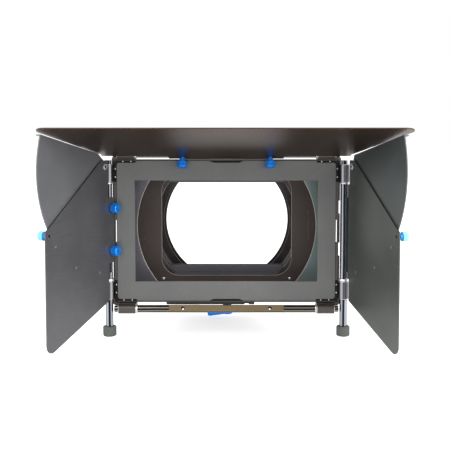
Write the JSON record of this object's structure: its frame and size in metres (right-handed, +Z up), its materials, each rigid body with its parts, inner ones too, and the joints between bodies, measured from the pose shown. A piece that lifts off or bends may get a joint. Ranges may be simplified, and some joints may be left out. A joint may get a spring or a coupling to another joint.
{
  "type": "matte box",
  "caption": "Rail-mounted matte box: rectangular hood with mask, hinged top flag, side flags with fan flaps, filter trays, rotating ring and swing-away rod clamp.",
  "frame": {"origin": "midway between the two 15 mm rails, at the middle of the rail clamp's depth", "axes": "+X to the right as seen from the scene in front of the lens, +Y back towards the lens and camera along the optical axis, +Z up"},
  "size_m": [0.3298, 0.2368, 0.2194],
  "materials": {
    "black_anodised": "satin",
    "black_paint": "matt",
    "black_sheet": "satin",
    "grey_sheet": "fine textured",
    "cast_bracket": "satin",
    "steel_rod": "ground",
    "steel_screw": "bright",
    "blue_anodised": "satin",
    "foot_rubber": "matt",
    "seal_rubber": "matt"
  },
  "bodies": {
    "rail_clamp": {"rail_clamp_body": "black_anodised", "clamp_jaw": "black_anodised", "hinge_pin": "steel_screw"},
    "lever": {"clamp_lever": "blue_anodised"},
    "housing": {"front_frame": "black_anodised", "mask_plate": "grey_sheet", "hood_shell": "black_paint", "round_baffle_left": "black_paint", "round_baffle_right": "black_paint", "inner_wall_plate": "black_paint", "stage_screw_top_left": "steel_screw", "stage_screw_top_right": "steel_screw", "stage_screw_bottom_left": "steel_screw", "stage_screw_bottom_right": "steel_screw", "corner_bracket_top_left": "cast_bracket", "corner_bracket_top_right": "cast_bracket", "corner_bracket_bottom_left": "cast_bracket", "corner_bracket_bottom_right": "cast_bracket", "stage_frame": "black_anodised", "ring_housing": "black_anodised", "lens_port_plate": "black_anodised", "lens_seal": "seal_rubber", "swing_arm": "black_anodised"},
    "front_tray_body": {"front_tray": "black_anodised"},
    "rear_tray_body": {"rear_tray": "black_anodised"},
    "ring": {"rotating_ring": "black_anodised"},
    "lower_rod": {"bottom_rod": "steel_rod"},
    "upper_flag": {"top_rod": "steel_rod", "top_flag": "black_sheet"},
    "upper_flag_screw_left": {"top_thumbscrew_left": "blue_anodised"},
    "upper_flag_screw_right": {"top_thumbscrew_right": "blue_anodised"},
    "left_wing": {"left_rod": "steel_rod", "left_rod_foot": "foot_rubber", "left_wing_panel": "grey_sheet", "left_fan_eyelet": "steel_screw", "left_guide_stud_1": "steel_screw", "left_guide_stud_2": "steel_screw", "left_guide_stud_3": "steel_screw"},
    "left_wing_screw_upper": {"left_upper_thumbscrew": "blue_anodised"},
    "left_wing_screw_lower": {"left_lower_thumbscrew": "blue_anodised"},
    "left_lock_knob": {"left_fan_lock_knob": "blue_anodised"},
    "left_fan": {"left_fan_flap": "grey_sheet"},
    "right_wing": {"right_rod": "steel_rod", "right_rod_foot": "foot_rubber", "right_wing_panel": "grey_sheet", "right_fan_eyelet": "steel_screw", "right_guide_stud_1": "steel_screw", "right_guide_stud_2": "steel_screw", "right_guide_stud_3": "steel_screw"},
    "right_wing_screw_upper": {"right_upper_thumbscrew": "blue_anodised"},
    "right_wing_screw_lower": {"right_lower_thumbscrew": "blue_anodised"},
    "right_lock_knob": {"right_fan_lock_knob": "blue_anodised"},
    "right_fan": {"right_fan_flap": "grey_sheet"}
  },
  "joints": [
    {"name": "swing_away", "type": "hinge", "parent": "rail_clamp", "child": "housing", "pos_m": [-0.062, -0.0055, 0], "axis": [0, 0, 1], "range_deg": [-110, 0]},
    {"name": "lever_turn", "type": "hinge", "parent": "rail_clamp", "child": "lever", "pos_m": [0, 0, -0.02], "axis": [0, 0, 1], "range_deg": [0, 90]},
    {"name": "front_tray_slide", "type": "slide", "parent": "housing", "child": "front_tray_body", "axis": [0, 0, 1], "range_m": [0, 0.12]},
    {"name": "rear_tray_slide", "type": "slide", "parent": "housing", "child": "rear_tray_body", "axis": [0, 0, 1], "range_m": [0, 0.12]},
    {"name": "ring_turn", "type": "hinge", "parent": "housing", "child": "ring", "pos_m": [0, -0.0325, 0.085], "axis": [0, 1, 0], "continuous": true},
    {"name": "lower_rod_turn", "type": "hinge", "parent": "housing", "child": "lower_rod", "pos_m": [0, -0.1185, 0.0075], "axis": [1, 0, 0], "range_deg": [-90, 90]},
    {"name": "upper_flag_tilt", "type": "hinge", "parent": "housing", "child": "upper_flag", "pos_m": [0, -0.1185, 0.1625], "axis": [-1, 0, 0], "range_deg": [0, 75]},
    {"name": "upper_flag_screw_left_spin", "type": "hinge", "parent": "upper_flag", "child": "upper_flag_screw_left", "pos_m": [-0.0434, -0.1185, 0.1625], "axis": [0, -0.2756, -0.9613], "continuous": true},
    {"name": "upper_flag_screw_right_spin", "type": "hinge", "parent": "upper_flag", "child": "upper_flag_screw_right", "pos_m": [0.0434, -0.1185, 0.1625], "axis": [0, -0.2756, -0.9613], "continuous": true},
    {"name": "left_wing_swing", "type": "hinge", "parent": "housing", "child": "left_wing", "pos_m": [-0.1167, -0.1185, 0.085], "axis": [0, 0, 1], "range_deg": [-60, 10]},
    {"name": "left_wing_screw_upper_spin", "type": "hinge", "parent": "left_wing", "child": "left_wing_screw_upper", "pos_m": [-0.1167, -0.1185, 0.109], "axis": [0.9056, -0.4242, 0], "continuous": true},
    {"name": "left_wing_screw_lower_spin", "type": "hinge", "parent": "left_wing", "child": "left_wing_screw_lower", "pos_m": [-0.1167, -0.1185, 0.0666], "axis": [0.9056, -0.4242, 0], "continuous": true},
    {"name": "left_lock_knob_spin", "type": "hinge", "parent": "left_wing", "child": "left_lock_knob", "pos_m": [-0.15834, -0.2074, 0.0939], "axis": [-0.9056, 0.4242, 0], "continuous": true},
    {"name": "left_fan_fold", "type": "hinge", "parent": "left_wing", "child": "left_fan", "pos_m": [-0.12025, -0.13009, 0.1505], "axis": [0.9056, -0.4242, 0], "range_deg": [0, 46]},
    {"name": "right_wing_swing", "type": "hinge", "parent": "housing", "child": "right_wing", "pos_m": [0.1167, -0.1185, 0.085], "axis": [0, 0, -1], "range_deg": [-60, 10]},
    {"name": "right_wing_screw_upper_spin", "type": "hinge", "parent": "right_wing", "child": "right_wing_screw_upper", "pos_m": [0.1167, -0.1185, 0.109], "axis": [0.95, 0.3123, 0], "continuous": true},
    {"name": "right_wing_screw_lower_spin", "type": "hinge", "parent": "right_wing", "child": "right_wing_screw_lower", "pos_m": [0.1167, -0.1185, 0.0666], "axis": [0.95, 0.3123, 0], "continuous": true},
    {"name": "right_lock_knob_spin", "type": "hinge", "parent": "right_wing", "child": "right_lock_knob", "pos_m": [0.14736, -0.21176, 0.0939], "axis": [0.95, 0.3123, 0], "continuous": true},
    {"name": "right_fan_fold", "type": "hinge", "parent": "right_wing", "child": "right_fan", "pos_m": [0.12491, -0.12843, 0.1505], "axis": [0.95, 0.3123, 0], "range_deg": [0, 46]}
  ]
}
